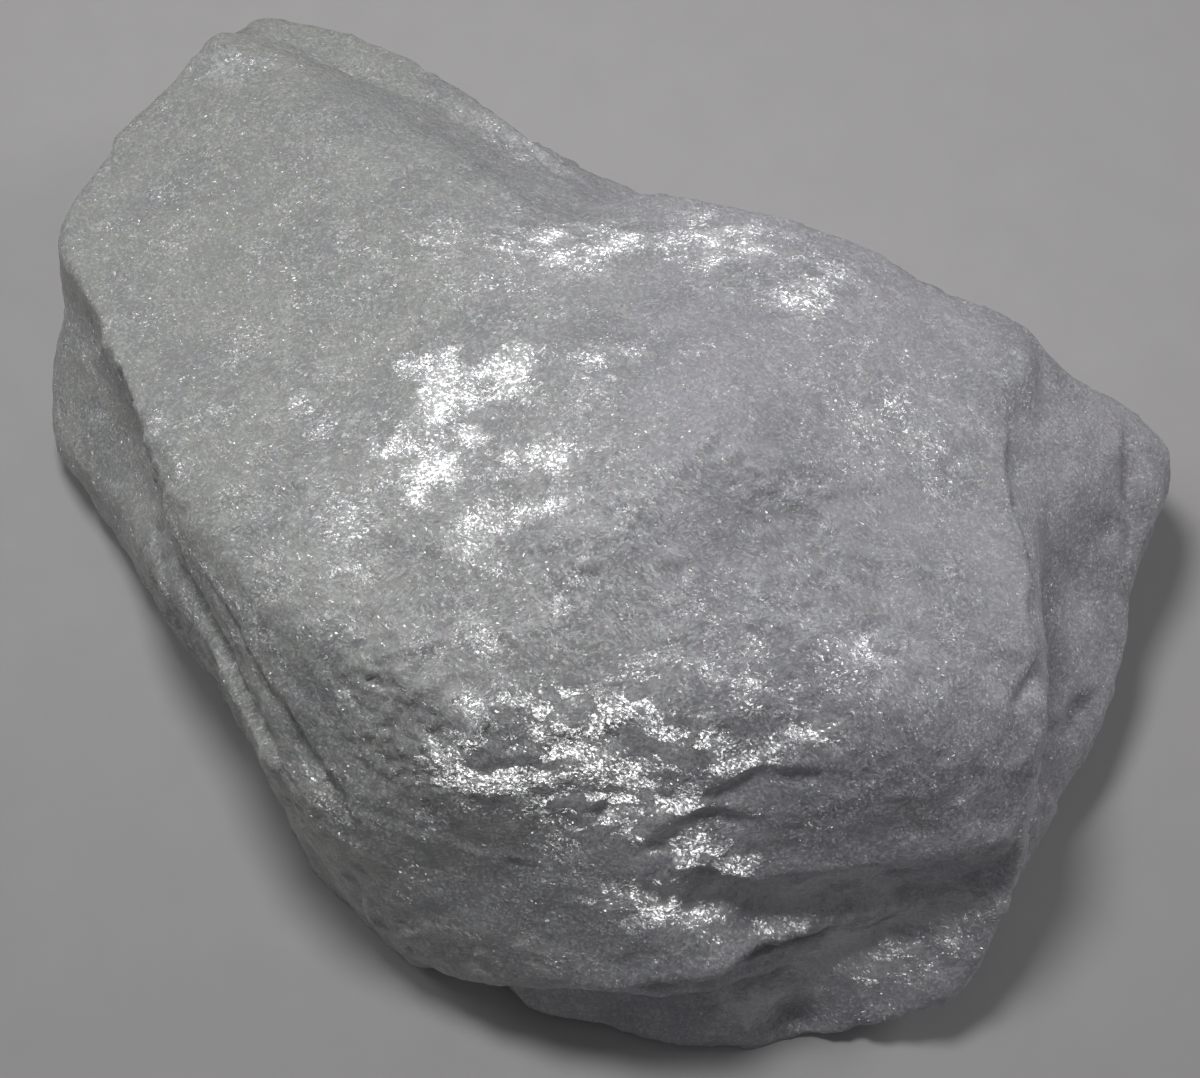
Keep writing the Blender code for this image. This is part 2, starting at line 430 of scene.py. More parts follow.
@dataclass(frozen=True)
class Scar:
    """A line where the stone broke deeper: the surface drops back below it and comes out again further down.

    Attributes:
        line: places along the line, in mm, before the stone is centred.
        facing: the azimuth that the drop faces.
        drop: how deep it is just below the line, in mm.
        reach: how far below the line it is felt, in mm.
        below_tilt: the tilt of the way from the line to the drop.
        lip_mm: how wide the turn to the drop is.
        rim, rim_nearness: how high the rim above is, as a part of the drop, and how much nearer it ends.
        ending: the part of the line over which it dies out at each end.
        past_mm: how far above or under the line the stone may be before the scar fades for that too.
        fray_mm: how far the line frays, and over which wavelength.
    """

    line: tuple[Place, ...]
    facing: float
    drop: float
    reach: float
    below_tilt: float = 125.0
    lip_mm: float = 1.2
    rim: float = 0.35
    rim_nearness: float = 1.5
    ending: float = 0.25
    past_mm: float = 3.0
    fray_mm: Pair = (0.8, 3.5)

    def relief(self, points: Array, normals: Array) -> Array:
        """The drop at each point: -drop * exp(-(distance / reach)^2) below the line, and a rim above it.

        Args:
            points: places on the stone, in mm.
            normals: the way the stone faces there. Distances are taken along the surface.

        Returns:
            One height in mm for each point.
        """
        line = np.array(self.line)
        fray, wavelength = self.fray_mm
        strayed = points + fray * lattice_noise(points, wavelength, Seed.FRAYED_SCARS, 3)
        nearest = np.full(len(points), np.inf)
        offset = np.zeros_like(points)
        along = np.zeros(len(points))
        for number, (start, end) in enumerate(zip(line[:-1], line[1:])):
            part = np.clip((strayed - start) @ (end - start) / ((end - start) ** 2).sum(), 0, 1)
            gap = strayed - start - part[:, None] * (end - start)
            distance = np.linalg.norm(gap, axis=1)
            closer = distance < nearest
            nearest[closer] = distance[closer]
            offset[closer] = gap[closer]
            along[closer] = (number + part[closer]) / (len(line) - 1)
        offset -= normals * (offset * normals).sum(axis=1)[:, None]
        distance = np.linalg.norm(offset, axis=1) + np.maximum(nearest - self.past_mm, 0)
        below = np.clip(0.5 + offset @ outward(self.facing, self.below_tilt) / self.lip_mm, 0, 1)
        below = below**2 * (3 - 2 * below)
        ends = np.clip(np.minimum(along, 1 - along) / self.ending, 0, 1)
        fall = below * np.exp(-((distance / self.reach) ** 2))
        rim = self.rim * (1 - below) * np.exp(-((self.rim_nearness * distance / self.reach) ** 2))
        return self.drop * ends * (rim - fall)


SCARS: dict[str, Scar] = {
    "groove": Scar((
        (7.5, -32.5, 22.5), (10.5, -33, 21), (12.5, -33, 21), (15, -33, 20), (17.5, -32.5, 20.5),
        (20.5, -32, 20.5), (23, -31.5, 20.5), (25.5, -32, 20), (27.5, -31.5, 20.5), (31, -31, 20),
        (34.5, -30, 19.5), (38, -29, 17.5),
    ), facing=275, drop=2, reach=3),
    "lip": Scar((
        (-6, -41, 11), (-3.5, -41.5, 11.5), (1, -42, 11.5), (5, -41.5, 13), (8.5, -40.5, 13.5),
        (11.5, -39.5, 13.5), (14, -38, 13.5), (16.5, -37, 13.5), (19, -36.5, 13.5), (22, -35.5, 13.5),
        (25, -35, 13.5), (28, -34.5, 13.5),
    ), facing=285, drop=2.2, reach=3.2),
    "fold above the groove": Scar((
        (2.5, -31.5, 23.5), (4, -31, 25), (6, -30, 26), (8.5, -29, 27), (11.5, -29, 26.5),
        (14.5, -29, 26),
    ), facing=275, drop=0.6, reach=2.6),
    "fold under the brow": Scar((
        (8, -27.5, 28.5), (9.5, -27, 28.5), (12, -26, 29), (14.5, -25.5, 29.5), (18.5, -25, 29.5),
        (23, -25, 29.5),
    ), facing=275, drop=0.45, reach=2.6),
    "fold in the tier": Scar((
        (5.5, -35.5, 19), (8, -34.5, 19), (10, -34, 19.5), (13, -33.5, 19.5), (16.5, -33, 19),
    ), facing=285, drop=0.5, reach=2.4),
    "fold at the brow": Scar(((-4.5, -24, 33.5), (-1, -23.5, 33.5), (3, -23.5, 33.5)), 275, 0.35, 2.2),
    "nick": Scar(((-1.5, -29.5, 26.5), (0, -28.5, 27.5), (0.5, -28, 28.5), (1, -26.5, 29.5)), 300, 0.5, 1.8),
    "right step": Scar((
        (36.5, 9, 29), (36, 6, 28.5), (36, 4, 28.5), (36, 1, 29), (36.5, -3, 29.5),
        (37, -5.5, 29), (37.5, -8.5, 28.5), (37.5, -11.5, 28.5), (38, -14, 27.5), (37.5, -16, 28),
        (36, -18.5, 28.5), (35, -20, 29), (34.5, -22, 28), (35, -25, 26.5),
    ), facing=0, drop=0.8, reach=3),
    "crease by the knob": Scar((
        (48, 11.5, 19.5), (48.5, 7.5, 19.5), (48.5, 4, 18), (49, 1.5, 17), (49, -2, 15.5),
    ), facing=0, drop=1, reach=1.8),
    "lower right rim": Scar((
        (40, -25, 12.5), (40.5, -23, 13.5), (41, -21.5, 14.5), (41, -19.5, 15.5), (42.5, -17.5, 15),
        (44.5, -15.5, 14.5), (46.5, -13.5, 13.5), (48.5, -11.5, 13),
    ), facing=320, drop=0.9, reach=3.5),
    "left scarp fold": Scar((
        (-35, -8, 29), (-33, -11, 29), (-30, -16, 28.5), (-27, -20, 27.5), (-24, -24, 25),
        (-21.5, -28, 22.5), (-19, -31, 19.5),
    ), facing=215, drop=0.8, reach=2),
}


@dataclass(frozen=True)
class FreshBreak:
    """A place where crystals broke off last, so that their cleavage faces are still bright, and where the
    body's colour is whitened as painted glint bloom.

    Attributes:
        place: its middle, in mm, once the stone is centred.
        radius: how far it spreads along X, and along Y and Z, in mm.
        strength: how bright it is in the middle. Above 1 even its dull patches are.
    """

    place: Place
    radius: Pair
    strength: float

    def brightness(self, points: Array) -> Array:
        """strength * exp(-(distance / radius)^2), one number for each point."""
        wide, high = self.radius
        return self.strength * np.exp(-(((points - self.place) / (wide, high, high)) ** 2).sum(axis=1))


FRESH_BREAKS = {name: FreshBreak(*values) for name, values in {
    "bright patch, top": ((-14, -1, 35.5), (2.8, 4), 0.9),
    "bright patch, left": ((-17.5, -6.5, 35), (2.5, 2), 0.9),
    "bright patch, low": ((-14.5, -8.5, 36), (2.2, 3.2), 0.7),
    "bright patch, right": ((-12.5, -6, 36.5), (2.5, 2), 0.6),
    "middle patch": ((-5, -8.5, 38), (4, 3), 0.4),
    "middle streak": ((-5.5, -13.5, 38.5), (4.5, 1.8), 0.75),
    "middle fan": ((-10, -14.5, 37), (3.5, 4), 0.35),
    "upper fan": ((-8.5, 0.5, 36), (4.5, 4), 0.5),
    "back patch": ((-3.5, 15, 32.5), (8, 3.5), 0.8),
    "back patch, right": ((10.5, 15.5, 32), (6.5, 3.5), 0.8),
    "back edge": ((19.5, 12, 32.5), (5, 3), 0.5),
    "right patch": ((17.5, 9.5, 34), (5, 3), 0.5),
    "small patch": ((1, 0, 38.5), (1.8, 1.8), 0.6),
    "left crest": ((-26, -1, 31.5), (5, 5), 0.15),
    "left crest, low": ((-21.5, -13, 35), (3.5, 4), 0.18),
    "lobe": ((-33.5, 40.5, 21.5), (5, 3), 0.28),
    "shelf": ((-5, 31.5, 19), (6, 3), 0.5),
    "front fan": ((-10, -24, 36.5), (4, 3), 0.2),
    "front fan, right": ((-3.5, -23, 38), (5, 2.5), 0.25),
    "front ripple": ((-1.5, -30, 35), (9, 2.2), 0.75),
    "second ripple": ((-2, -33, 32), (8, 2.4), 0.9),
    "third ripple": ((1.5, -35.5, 28.5), (6.5, 2.6), 1),
    "fourth ripple": ((3.5, -37.5, 26.5), (5, 2.2), 0.7),
    "left ripple": ((-10, -33.5, 31), (4.5, 3), 1.1),
    "brow patch": ((9, -32, 31), (3.5, 2.2), 0.9),
    "brow patch, right": ((15.5, -30, 31.5), (5, 2.2), 0.6),
    "front right": ((11.5, -32, 31.5), (6, 2), 0.5),
    "plates over the tier": ((7.5, -39, 24), (4, 2.6), 1.2),
    "tier, left": ((5.5, -41, 20), (4.5, 2.5), 1),
    "tier": ((13, -41, 17), (5.5, 3), 1.3),
    "tier, right": ((20, -39.5, 16.5), (5, 2.5), 1.4),
    "foot, top": ((27, -41, 12), (5.5, 2.6), 1.3),
    "foot, front": ((22, -44.5, 8.5), (4, 3.2), 1.2),
    "foot, right": ((27, -44, 9), (3.5, 2.5), 1.1),
    "foot, low": ((15, -47, 4.5), (5, 2.5), 1),
    "right edge": ((28.5, -18.5, 33.5), (4, 3), 0.15),
    # The next two whiten the body on the dome's right and along the brow. This is mostly painted light on
    # faces that would fall darker, with a few glints.
    "right dome": ((24, -3, 34), (9, 7), 0.25),
    "brow": ((14, -26, 35), (14, 4.5), 0.25),
}.items()}


@dataclass(frozen=True)
class Beds:
    """Beds: on a slope each bed's edge stands out, and the slope falls back below it. Some are bolder.

    Attributes:
        height: from one bed to the next, in mm.
        step: how far an edge stands out, in mm.
        wander: how far the beds wave up and down, in mm.
        seed: which noises they wander by.
        waves: those noises.
        patches: the noise by which they come and go.
        edge: how far up a bed its edge is.
        cover: how much they show between patches.
        boldness, boldness_turn: how bold they are on the whole, how far each bed is from that at most, and
            the angle, in radians, by which a sine turns from one bed to the next to tell them apart.
    """

    height: float
    step: float
    wander: float
    seed: int
    waves: Layers = ((22.0, 1.0), (6.0, 0.24))
    patches: Layers = ((15.0, 1.2),)
    edge: float = 0.75
    cover: float = 0.35
    boldness: Pair = (0.65, 0.35)
    boldness_turn: float = 2.4

    def relief(self, points: Array, normals: Array, upward: Array) -> Array:
        """How far the beds stand out: a saw tooth of the height above the sole, strongest on steep slopes.

        Args:
            points: places on the stone, in mm.
            normals: the way the stone faces there.
            upward: the way the beds' upper sides face.

        Returns:
            One height in mm for each point.
        """
        wander = self.wander * layered_noise(points, self.waves, self.seed)[:, 0]
        bed, part = np.divmod((points @ upward + wander) / self.height, 1.0)
        fall = np.clip((part - self.edge) / (1 - self.edge), 0, 1)
        saw = part - fall**2 * (3 - 2 * fall)
        across = 1 - np.clip(normals @ upward, -1, 1) ** 2
        patches = np.clip(self.cover + layered_noise(points, self.patches, self.seed + 2)[:, 0], 0, 1)
        middle, swing = self.boldness
        return self.step * saw * across * patches * (middle + swing * np.sin(self.boldness_turn * bed))


@dataclass
class Stone:
    """The whole stone, drawn from a ball around its heart.

    In every direction from the heart it reaches as far as its outermost block does, and a block reaches as
    far as its nearest face: 1 / (largest of n.d / r), with n and r the face's normal and distance. High
    power means take the place of largest, so that edges and seams are a little worn.

    Lengths are in millimetres until the mesh is made. Each noise is a wavelength and a height.

    Attributes:
        heart: the ball's middle, before the stone is centred.
        typical_reach: about how far the stone reaches. It only keeps the powers in range.
        hidden_reach: how far behind the heart a block's hidden faces are.
        blocks: the blocks around the dome.
        top_sharpness, edge_sharpness, seam_sharpness: the powers for the dome's top, edges and seams.
        edge_bends, face_bends: how edges and faces wander.
        bed_dip: the azimuth and tilt of the way that the beds face.
        thick_beds, thin_beds: the beds.
        facets, chips: the larger and the smaller cleavage faces' size and slope.
        facet_bends, rough_regions: how their edges wander, and where they slope more.
        roughness, roughness_limits: how much they slope on the whole, and at least and at most.
        grain: the grain.
        crumbly, crumbly_slope: the crumbs that steep slopes lose, and how high a normal is where they begin
            and how much lower where they are full.
        old_break, old_evenness: how bright cleavage faces are away from the fresh breaks, and how evenly.
        fresh_gain: how much brighter they are in them.
        fresh_bends, fresh_patches: how fresh breaks stray, and how patchy they are.
        patch_tone: the patches' middle tone.
        patch_squeeze: places are scaled by this for the patches, which lie flat along the beds.
        level_slope: how high a normal is where a face is level enough to be fully bright.
        coarse_cells: how many cells the first ball has along a side.
        evening_rounds: how often the points are evened on each ball.
    """

    heart: Place = (0.0, 2.0, 16.0)
    typical_reach: float = 40.0
    hidden_reach: float = 16.0
    blocks: tuple[Block, ...] = (LOBE, SHELF, LEDGE, LEFT_FOOT, SHOULDER, NOSE, FOOT)
    top_sharpness: float = 30.0
    edge_sharpness: float = 60.0
    seam_sharpness: float = 140.0
    edge_bends: Layers = ((30.0, 1.2), (12.0, 0.6))
    face_bends: Layers = ((17.0, 0.9), (8.0, 0.45), (4.5, 0.14))
    bed_dip: Pair = (300.0, 14.0)
    thick_beds: Beds = Beds(height=3.2, step=0.65, wander=2.5, seed=11)
    thin_beds: Beds = Beds(height=1.15, step=0.19, wander=1.6, seed=41)
    facets: Pair = (3.0, 0.08)
    chips: Pair = (1.5, 0.16)
    facet_bends: Layers = ((2.5, 0.8),)
    rough_regions: Layers = ((12.0, 0.9),)
    roughness: float = 0.6
    roughness_limits: Pair = (0.15, 1.2)
    grain: Layers = ((2.3, 0.06), (1.25, 0.08))
    crumbly: Layers = ((3.4, 0.5), (1.6, 0.28))
    crumbly_slope: Pair = (0.45, 0.4)
    old_break: float = 0.16
    old_evenness: float = 0.3
    fresh_gain: float = 1.3
    fresh_bends: Layers = ((5.0, 1.6), (1.8, 0.8))
    fresh_patches: Layers = ((2.6, 0.5), (1.2, 0.35))
    patch_tone: float = 0.75
    patch_squeeze: Place = (0.8, 1.0, 2.2)
    level_slope: float = 0.5
    coarse_cells: int = 32
    evening_rounds: tuple[int, ...] = (20, 10, 5)

    def nearest_face(self, directions: Array, faces: list, sharpness: float) -> Array:
        """One over the distance to the nearest face, eased where two are equally near.

        Args:
            directions: unit vectors from the heart.
            faces: each face's azimuth, tilt and distance.
            sharpness: the power of the mean.

        Returns:
            One number for each direction.
        """
        total = np.full(len(directions), 1e-30)
        for azimuth, tilt, reach in faces:
            facing = np.clip(directions @ outward(azimuth, tilt), 0, None)
            total += (facing * self.typical_reach / reach) ** sharpness
        return total ** (1 / sharpness) / self.typical_reach

    def dome_reach(self, directions: Array) -> Array:
        """How far the dome reaches. Its top is worn softer than its sides.

        Args:
            directions: unit vectors from the heart.

        Returns:
            One distance in mm for each direction.
        """
        top = self.nearest_face(directions, list(DOME_TOP.values()), self.top_sharpness)
        walls = [*DOME_SIDES.values(), *UNDERSIDE.values()]
        sides = self.nearest_face(directions, walls, self.edge_sharpness)
        return 1 / np.linalg.norm([top, sides], ord=self.edge_sharpness, axis=0)

    def block_reach(self, directions: Array, block: Block) -> Array:
        """How far a block around the dome reaches. Three hidden faces close it behind the heart.

        Args:
            directions: unit vectors from the heart.
            block: the block.

        Returns:
            One distance in mm for each direction.
        """
        hidden = [(block.leaning + turn, 90, self.hidden_reach) for turn in (120, 180, 240)]
        faces = [*block.faces.values(), *UNDERSIDE.values(), *hidden]
        return 1 / self.nearest_face(directions, faces, self.edge_sharpness)

    def fractured(self, directions: Array) -> Array:
        """The points of the broken stone, before its faces are roughened.

        Args:
            directions: unit vectors from the heart. Slow noise bends them, so that edges wander.

        Returns:
            heart + direction * the reach of the outermost block.
        """
        bends = layered_noise(directions * self.typical_reach, self.edge_bends, Seed.EDGE_BENDS, 3)
        bent = directions + bends / self.typical_reach
        reaches = [self.dome_reach(bent)] + [self.block_reach(bent, block) for block in self.blocks]
        parts = np.array(reaches) / self.typical_reach
        reach = np.linalg.norm(parts, ord=self.seam_sharpness, axis=0) * self.typical_reach
        return np.array(self.heart) + directions * reach[:, None]

    def evened(self, grid: BallGrid, directions: Array, rounds: int) -> Array:
        """Moves the directions until the points on the stone lie about evenly.

        Args:
            grid: the ball.
            directions: its directions.
            rounds: how often each point goes to the middle of its neighbours on the stone.

        Returns:
            The new directions.
        """
        links = grid.links()
        count = np.bincount(links[:, 0])[:, None]
        for _ in range(rounds):
            points = self.fractured(directions)
            sums = [np.bincount(links[:, 0], points[links[:, 1], axis]) for axis in range(3)]
            middle = np.stack(sums, axis=1) / count - np.array(self.heart)
            directions = middle / np.linalg.norm(middle, axis=1, keepdims=True)
        return directions

    def main_relief(self, points: Array, normals: Array) -> Array:
        """The height of the thick beds, the slow waves of the faces and the scars, less the hollows.

        Args:
            points: places on the stone, in mm.
            normals: the way the stone faces there.

        Returns:
            One height in mm for each point.
        """
        height = self.thick_beds.relief(points, normals, outward(*self.bed_dip))
        height += layered_noise(points, self.face_bends, Seed.FACE_BENDS)[:, 0]
        for middle, radius, depth in HOLLOWS.values():
            height -= depth * np.exp(-(((points - middle) / radius) ** 2).sum(axis=1))
        for scar in SCARS.values():
            height += scar.relief(points, normals)
        return height

    def fine_relief(self, points: Array, normals: Array) -> Array:
        """The height of the thin beds, of the cleavage faces and of the grain, less the crumbs.

        Args:
            points: places on the stone, in mm.
            normals: the way the stone faces there.

        Returns:
            One height in mm for each point. Each cleavage face tilts its own way, more in rougher regions.
        """
        height = self.thin_beds.relief(points, normals, outward(*self.bed_dip))
        warped = points + layered_noise(points, self.facet_bends, Seed.FACET_BENDS, 3)
        rough = self.roughness + layered_noise(points, self.rough_regions, Seed.ROUGH_REGIONS)[:, 0]
        rough = np.clip(rough, *self.roughness_limits)
        for size, tilt, seed in (*self.facets, Seed.FACETS), (*self.chips, Seed.CHIPS):
            offset, mark = nearest_seeds(warped, size, seed)
            height += tilt * rough * (offset * mark).sum(axis=1)
        height += layered_noise(points, self.grain, Seed.GRAIN)[:, 0]
        start, fade = self.crumbly_slope
        steep = np.clip((start - normals[:, 2]) / fade, 0, 1)
        for seed, (wavelength, depth) in enumerate(self.crumbly, start=Seed.CRUMBS):
            height -= depth * steep * np.maximum(lattice_noise(points, wavelength, seed)[:, 0], 0)
        return height

    def freshness(self, points: Array, normals: Array) -> Array:
        """How fresh the break is at each point, from 0 to 1: the strongest fresh break, made patchy by noise.

        Args:
            points: places on the stone, in mm.
            normals: the way the stone faces there. Freshness fades on steep faces, so that they glint less
            and take less painted glint bloom.

        Returns:
            One number for each point.
        """
        strayed = points + layered_noise(points, self.fresh_bends, Seed.FRESH_BENDS, 3)
        fresh = np.max([place.brightness(strayed) for place in FRESH_BREAKS.values()], axis=0)
        squeezed = points * self.patch_squeeze
        patches = self.patch_tone + layered_noise(squeezed, self.fresh_patches, Seed.FRESH_PATCHES)[:, 0]
        level = np.clip(normals[:, 2] / self.level_slope, 0, 1)
        old = self.old_break * (self.old_evenness + patches) * level
        return np.clip(old + self.fresh_gain * fresh * patches * np.sqrt(level), 0, 1)

    def build(self, node: str) -> bpy.types.Object:
        """Makes the stone's mesh where the CAD node stands.

        Args:
            node: the CAD node.

        Returns:
            The new object, its origin at the frame's.
        """
        grid = BallGrid(self.coarse_cells)
        directions = self.evened(grid, grid.directions, self.evening_rounds[0])
        for rounds in self.evening_rounds[1:]:
            grid, directions = grid.finer(directions)
            directions = self.evened(grid, directions, rounds)
        quads = grid.quads()
        points = self.fractured(directions)
        normals = vertex_normals(points, quads)
        points += normals * self.main_relief(points, normals)[:, None]

        low, high = (np.array(corner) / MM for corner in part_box(node))
        points[:, :2] += ((low + high) - (points.min(axis=0) + points.max(axis=0)))[:2] / 2
        normals = vertex_normals(points, quads)
        points += normals * self.fine_relief(points, normals)[:, None]
        points[:, 2] = np.maximum(points[:, 2], 0.0)

        mesh = bpy.data.meshes.new("anhydrite_stone")
        mesh.from_pydata((points * MM).tolist(), [], quads.tolist())
        mesh.shade_smooth()
        fresh = mesh.attributes.new("fresh", "FLOAT", "POINT")
        fresh.data.foreach_set("value", self.freshness(points, normals))
        mesh.update()
        return put("anhydrite_stone", mesh)


# Finishes ----------------------------------------------------


def linear(colour: str) -> tuple[float, float, float, float]:
    """A colour as a shader wants it.

    Args:
        colour: sRGB in six hex digits, such as "c8c8cc".

    Returns:
        Linear red, green and blue, and 1 for alpha.
    """
    parts = [int(colour[i : i + 2], 16) / 255 for i in (0, 2, 4)]
    red, green, blue = (c / 12.92 if c <= 0.04045 else ((c + 0.055) / 1.055) ** 2.4 for c in parts)
    return red, green, blue, 1.0


def add_node(tree: Tree, kind: str, settings: dict, inputs: dict, output: int | str = 0) -> Socket | None:
    """Adds one node with its settings and links.

    Args:
        tree: the node tree.
        kind: the node's type, without the ShaderNode before it.
        settings: the node's properties and their values.
        inputs: for each input, by name or number, its value, or the output that feeds it.
        output: which of its outputs is wanted.

    Returns:
        That output, if it has any.
    """
    node = tree.nodes.new("ShaderNode" + kind)
    for name, value in settings.items():
        setattr(node, name, value)
    for name, value in inputs.items():
        if isinstance(value, Socket):
            tree.links.new(value, node.inputs[name])
        else:
            node.inputs[name].default_value = value
    return node.outputs[output] if node.outputs else None


def empty_material(name: str) -> bpy.types.Material:
    """Makes a material with no nodes.

    Args:
        name: its name.

    Returns:
        The material.
    """
    material = bpy.data.materials.new(name)
    material.use_nodes = True
    material.node_tree.nodes.clear()
    return material


def from_to(value: Socket, start: Pair, end: Pair) -> dict:
    """The inputs that bring a value from one range to another."""
    return {"Value": value, "From Min": start[0], "From Max": start[1], "To Min": end[0], "To Max": end[1]}


SMOOTHLY = {"interpolation_type": "SMOOTHSTEP"}
WEIGHTED_SUM = {"operation": "MULTIPLY_ADD"}


@dataclass(frozen=True)
class Felt:
    """The patterns of a felt of crystals, as sockets of one node tree.

    Attributes:
        place: places in mm.
        facing: the way the surface faces.
        fresh: how fresh the break is, from 0 to 1.
        domain, crystal, grain: three random numbers for each domain, crystal and grain, as a colour.
        feather: streaks, from 0 to 1, that whiten the body, partly as bruise and partly as painted glint
            bloom.
    """

    place: Socket
    facing: Socket
    fresh: Socket
    domain: Socket
    crystal: Socket
    grain: Socket
    feather: Socket


@dataclass(frozen=True)
class MassiveAnhydrite:
    """Massive anhydrite, broken: milky calcium sulphate, a felt of crystals with perfect cleavage.

    Its index is 1.57. A cleavage face is glassy, and stacked faces give the pearly glint, so the glints are a
    coat of their own, with a higher index, over a dull sugary body. The mesh's attribute "fresh" says where
    the break is fresh. Real grains can be finer: these are as coarse as they need to be to show.

    Attributes:
        left, right, ends_mm: the body's colour at the stone's two ends, and where along X they begin.
        clear, cloud_mm: how dark the body is in clouds where less of it is white, and their width.
        bruise_and_bloom_white, fresh_bruise_and_bloom: white of bruised crystal and of painted glint bloom in
        the break, and how much more of it where it is fresh.
        stain: dust between crystals.
        domain_mm: how long, wide and thick the patches are in which the crystals lie alike.
        fibre_mm, fibre_turns: a crystal's length, width and thickness, and the least and the greatest angle
            that a domain's crystals are turned by, in radians.
        grain_mm: the finest grains.
        streak_mm: how long, wide and thick the bruised streaks are.
        crack_mm: how far apart the cracks are.
        crack_edge: where a crack's edge and its middle are, as parts of that.
        crack_dust: how dusty a crack is at most.
        ends_fray, domain_fray, fibre_fray, crack_fray: how those stray: a wavelength and a reach in mm.
        bed_dip: the azimuth and tilt of the way that fresh cleavages face.
        ior, body_roughness: the dull body's.
        body_tilts: how much each crystal and each grain tilts the body's normal.
        sheen: how much each crystal is tinted by the light that its cleavages bend.
        glint_roughness, glint_ior: the glints'. The index is what stacked cleavages seem to have.
        glint_tilts: how much each domain, crystal and grain tilts the glints' normal.
        tilts_kept: how much of that is left where the break is old, and where it is fresh.
        fresh_split: how much more a fresh break has split along the beds.
        bed_share: how much the least and the most split domains face the way of the beds.
        glassy_shares: how much a fresh break, the domain and the streaks add to the glassiness.
        glassy_from: the sum of these that starts it, and the one that makes it full.
        lone_glassiness: how glassy dull crystals and lone bright ones are.
    """

    left: str = "b4b6b0"
    right: str = "bebcc3"
    ends_mm: Pair = (-32.0, 22.0)
    ends_fray: Pair = (14.0, 20.0)
    clear: str = "9b9ca1"
    cloud_mm: float = 7.0
    # White of bruised crystal, and painted glint bloom where the break is fresh or streaked.
    bruise_and_bloom_white: str = "f4f4f6"
    fresh_bruise_and_bloom: float = 0.42
    stain: str = "6c6d6c"
    domain_mm: Place = (3.4, 2.4, 1.2)
    domain_fray: Pair = (2.0, 1.5)
    fibre_mm: Place = (0.55, 0.14, 0.18)
    fibre_turns: Pair = (-0.5, 0.9)
    fibre_fray: Pair = (0.7, 0.28)
    grain_mm: float = 0.2
    streak_mm: Place = (1.5, 1.0, 0.4)
    crack_mm: float = 1.7
    crack_fray: Pair = (0.9, 0.7)
    crack_edge: Pair = (0.035, 0.01)
    crack_dust: float = 0.5
    bed_dip: Pair = (228.0, 5.0)
    ior: float = 1.57
    body_roughness: float = 0.5
    body_tilts: Pair = (0.22, 0.3)
    sheen: float = 0.05
    glint_roughness: float = 0.27
    glint_ior: float = 2.2
    glint_tilts: Place = (0.36, 0.42, 0.42)
    tilts_kept: Pair = (1.0, 0.45)
    fresh_split: float = 0.8
    bed_share: Pair = (0.05, 0.92)
    glassy_shares: Place = (1.2, 0.3, 0.9)
    glassy_from: Pair = (0.7, 1.45)
    lone_glassiness: Pair = (0.02, 0.7)

    def build(self) -> bpy.types.Material:
        """Makes the material.

        Returns:
            The material, its body and its glints joined.
        """
        material = empty_material("massive anhydrite")
        tree = material.node_tree
        felt = self.felt(tree)
        shader = add_node(tree, "BsdfPrincipled", {}, {
            "Base Color": self.colour(tree, felt),
            "Roughness": self.body_roughness,
            "IOR": self.ior,
            "Normal": self.body_normal(tree, felt),
            "Coat Weight": self.glassiness(tree, felt),
            "Coat Roughness": self.glint_roughness,
            "Coat IOR": self.glint_ior,
            "Coat Normal": self.glint_normal(tree, felt),
        })
        add_node(tree, "OutputMaterial", {}, {"Surface": shader})
        return material

    def felt(self, tree: Tree) -> Felt:
        """Lays out the felt: domains with frayed edges, and in each the crystals lie their own way.

        Args:
            tree: the node tree.

        Returns:
            The felt.
        """
        place = add_node(tree, "TexCoord", {}, {}, "Object")
        in_mm = add_node(tree, "VectorMath", {"operation": "SCALE"}, {0: place, "Scale": 1 / MM})
        domain = self.cells(tree, self.strayed(tree, in_mm, *self.domain_fray), self.domain_mm)
        third = add_node(tree, "SeparateColor", {}, {0: domain}, 2)
        turn = add_node(tree, "MapRange", SMOOTHLY, from_to(third, (0.0, 1.0), self.fibre_turns))
        torn = self.strayed(tree, in_mm, *self.fibre_fray)
        axis = outward(*self.bed_dip).tolist()
        turned = add_node(tree, "VectorRotate", {}, {"Vector": torn, "Axis": axis, "Angle": turn})
        per_streak = [1 / size for size in self.streak_mm]
        streaked = add_node(tree, "Mapping", {}, {"Vector": turned, "Scale": per_streak})
        rough = {"Scale": 1.0, "Detail": 6.0, "Roughness": 0.7}
        return Felt(
            place=in_mm,
            facing=add_node(tree, "NewGeometry", {}, {}, "Normal"),
            fresh=add_node(tree, "Attribute", {"attribute_name": "fresh"}, {}, "Fac"),
            domain=domain,
            crystal=self.cells(tree, turned, self.fibre_mm),
            grain=self.cells(tree, in_mm, (self.grain_mm,) * 3),
            feather=add_node(tree, "TexNoise", {}, {"Vector": streaked, **rough}, "Fac"),
        )

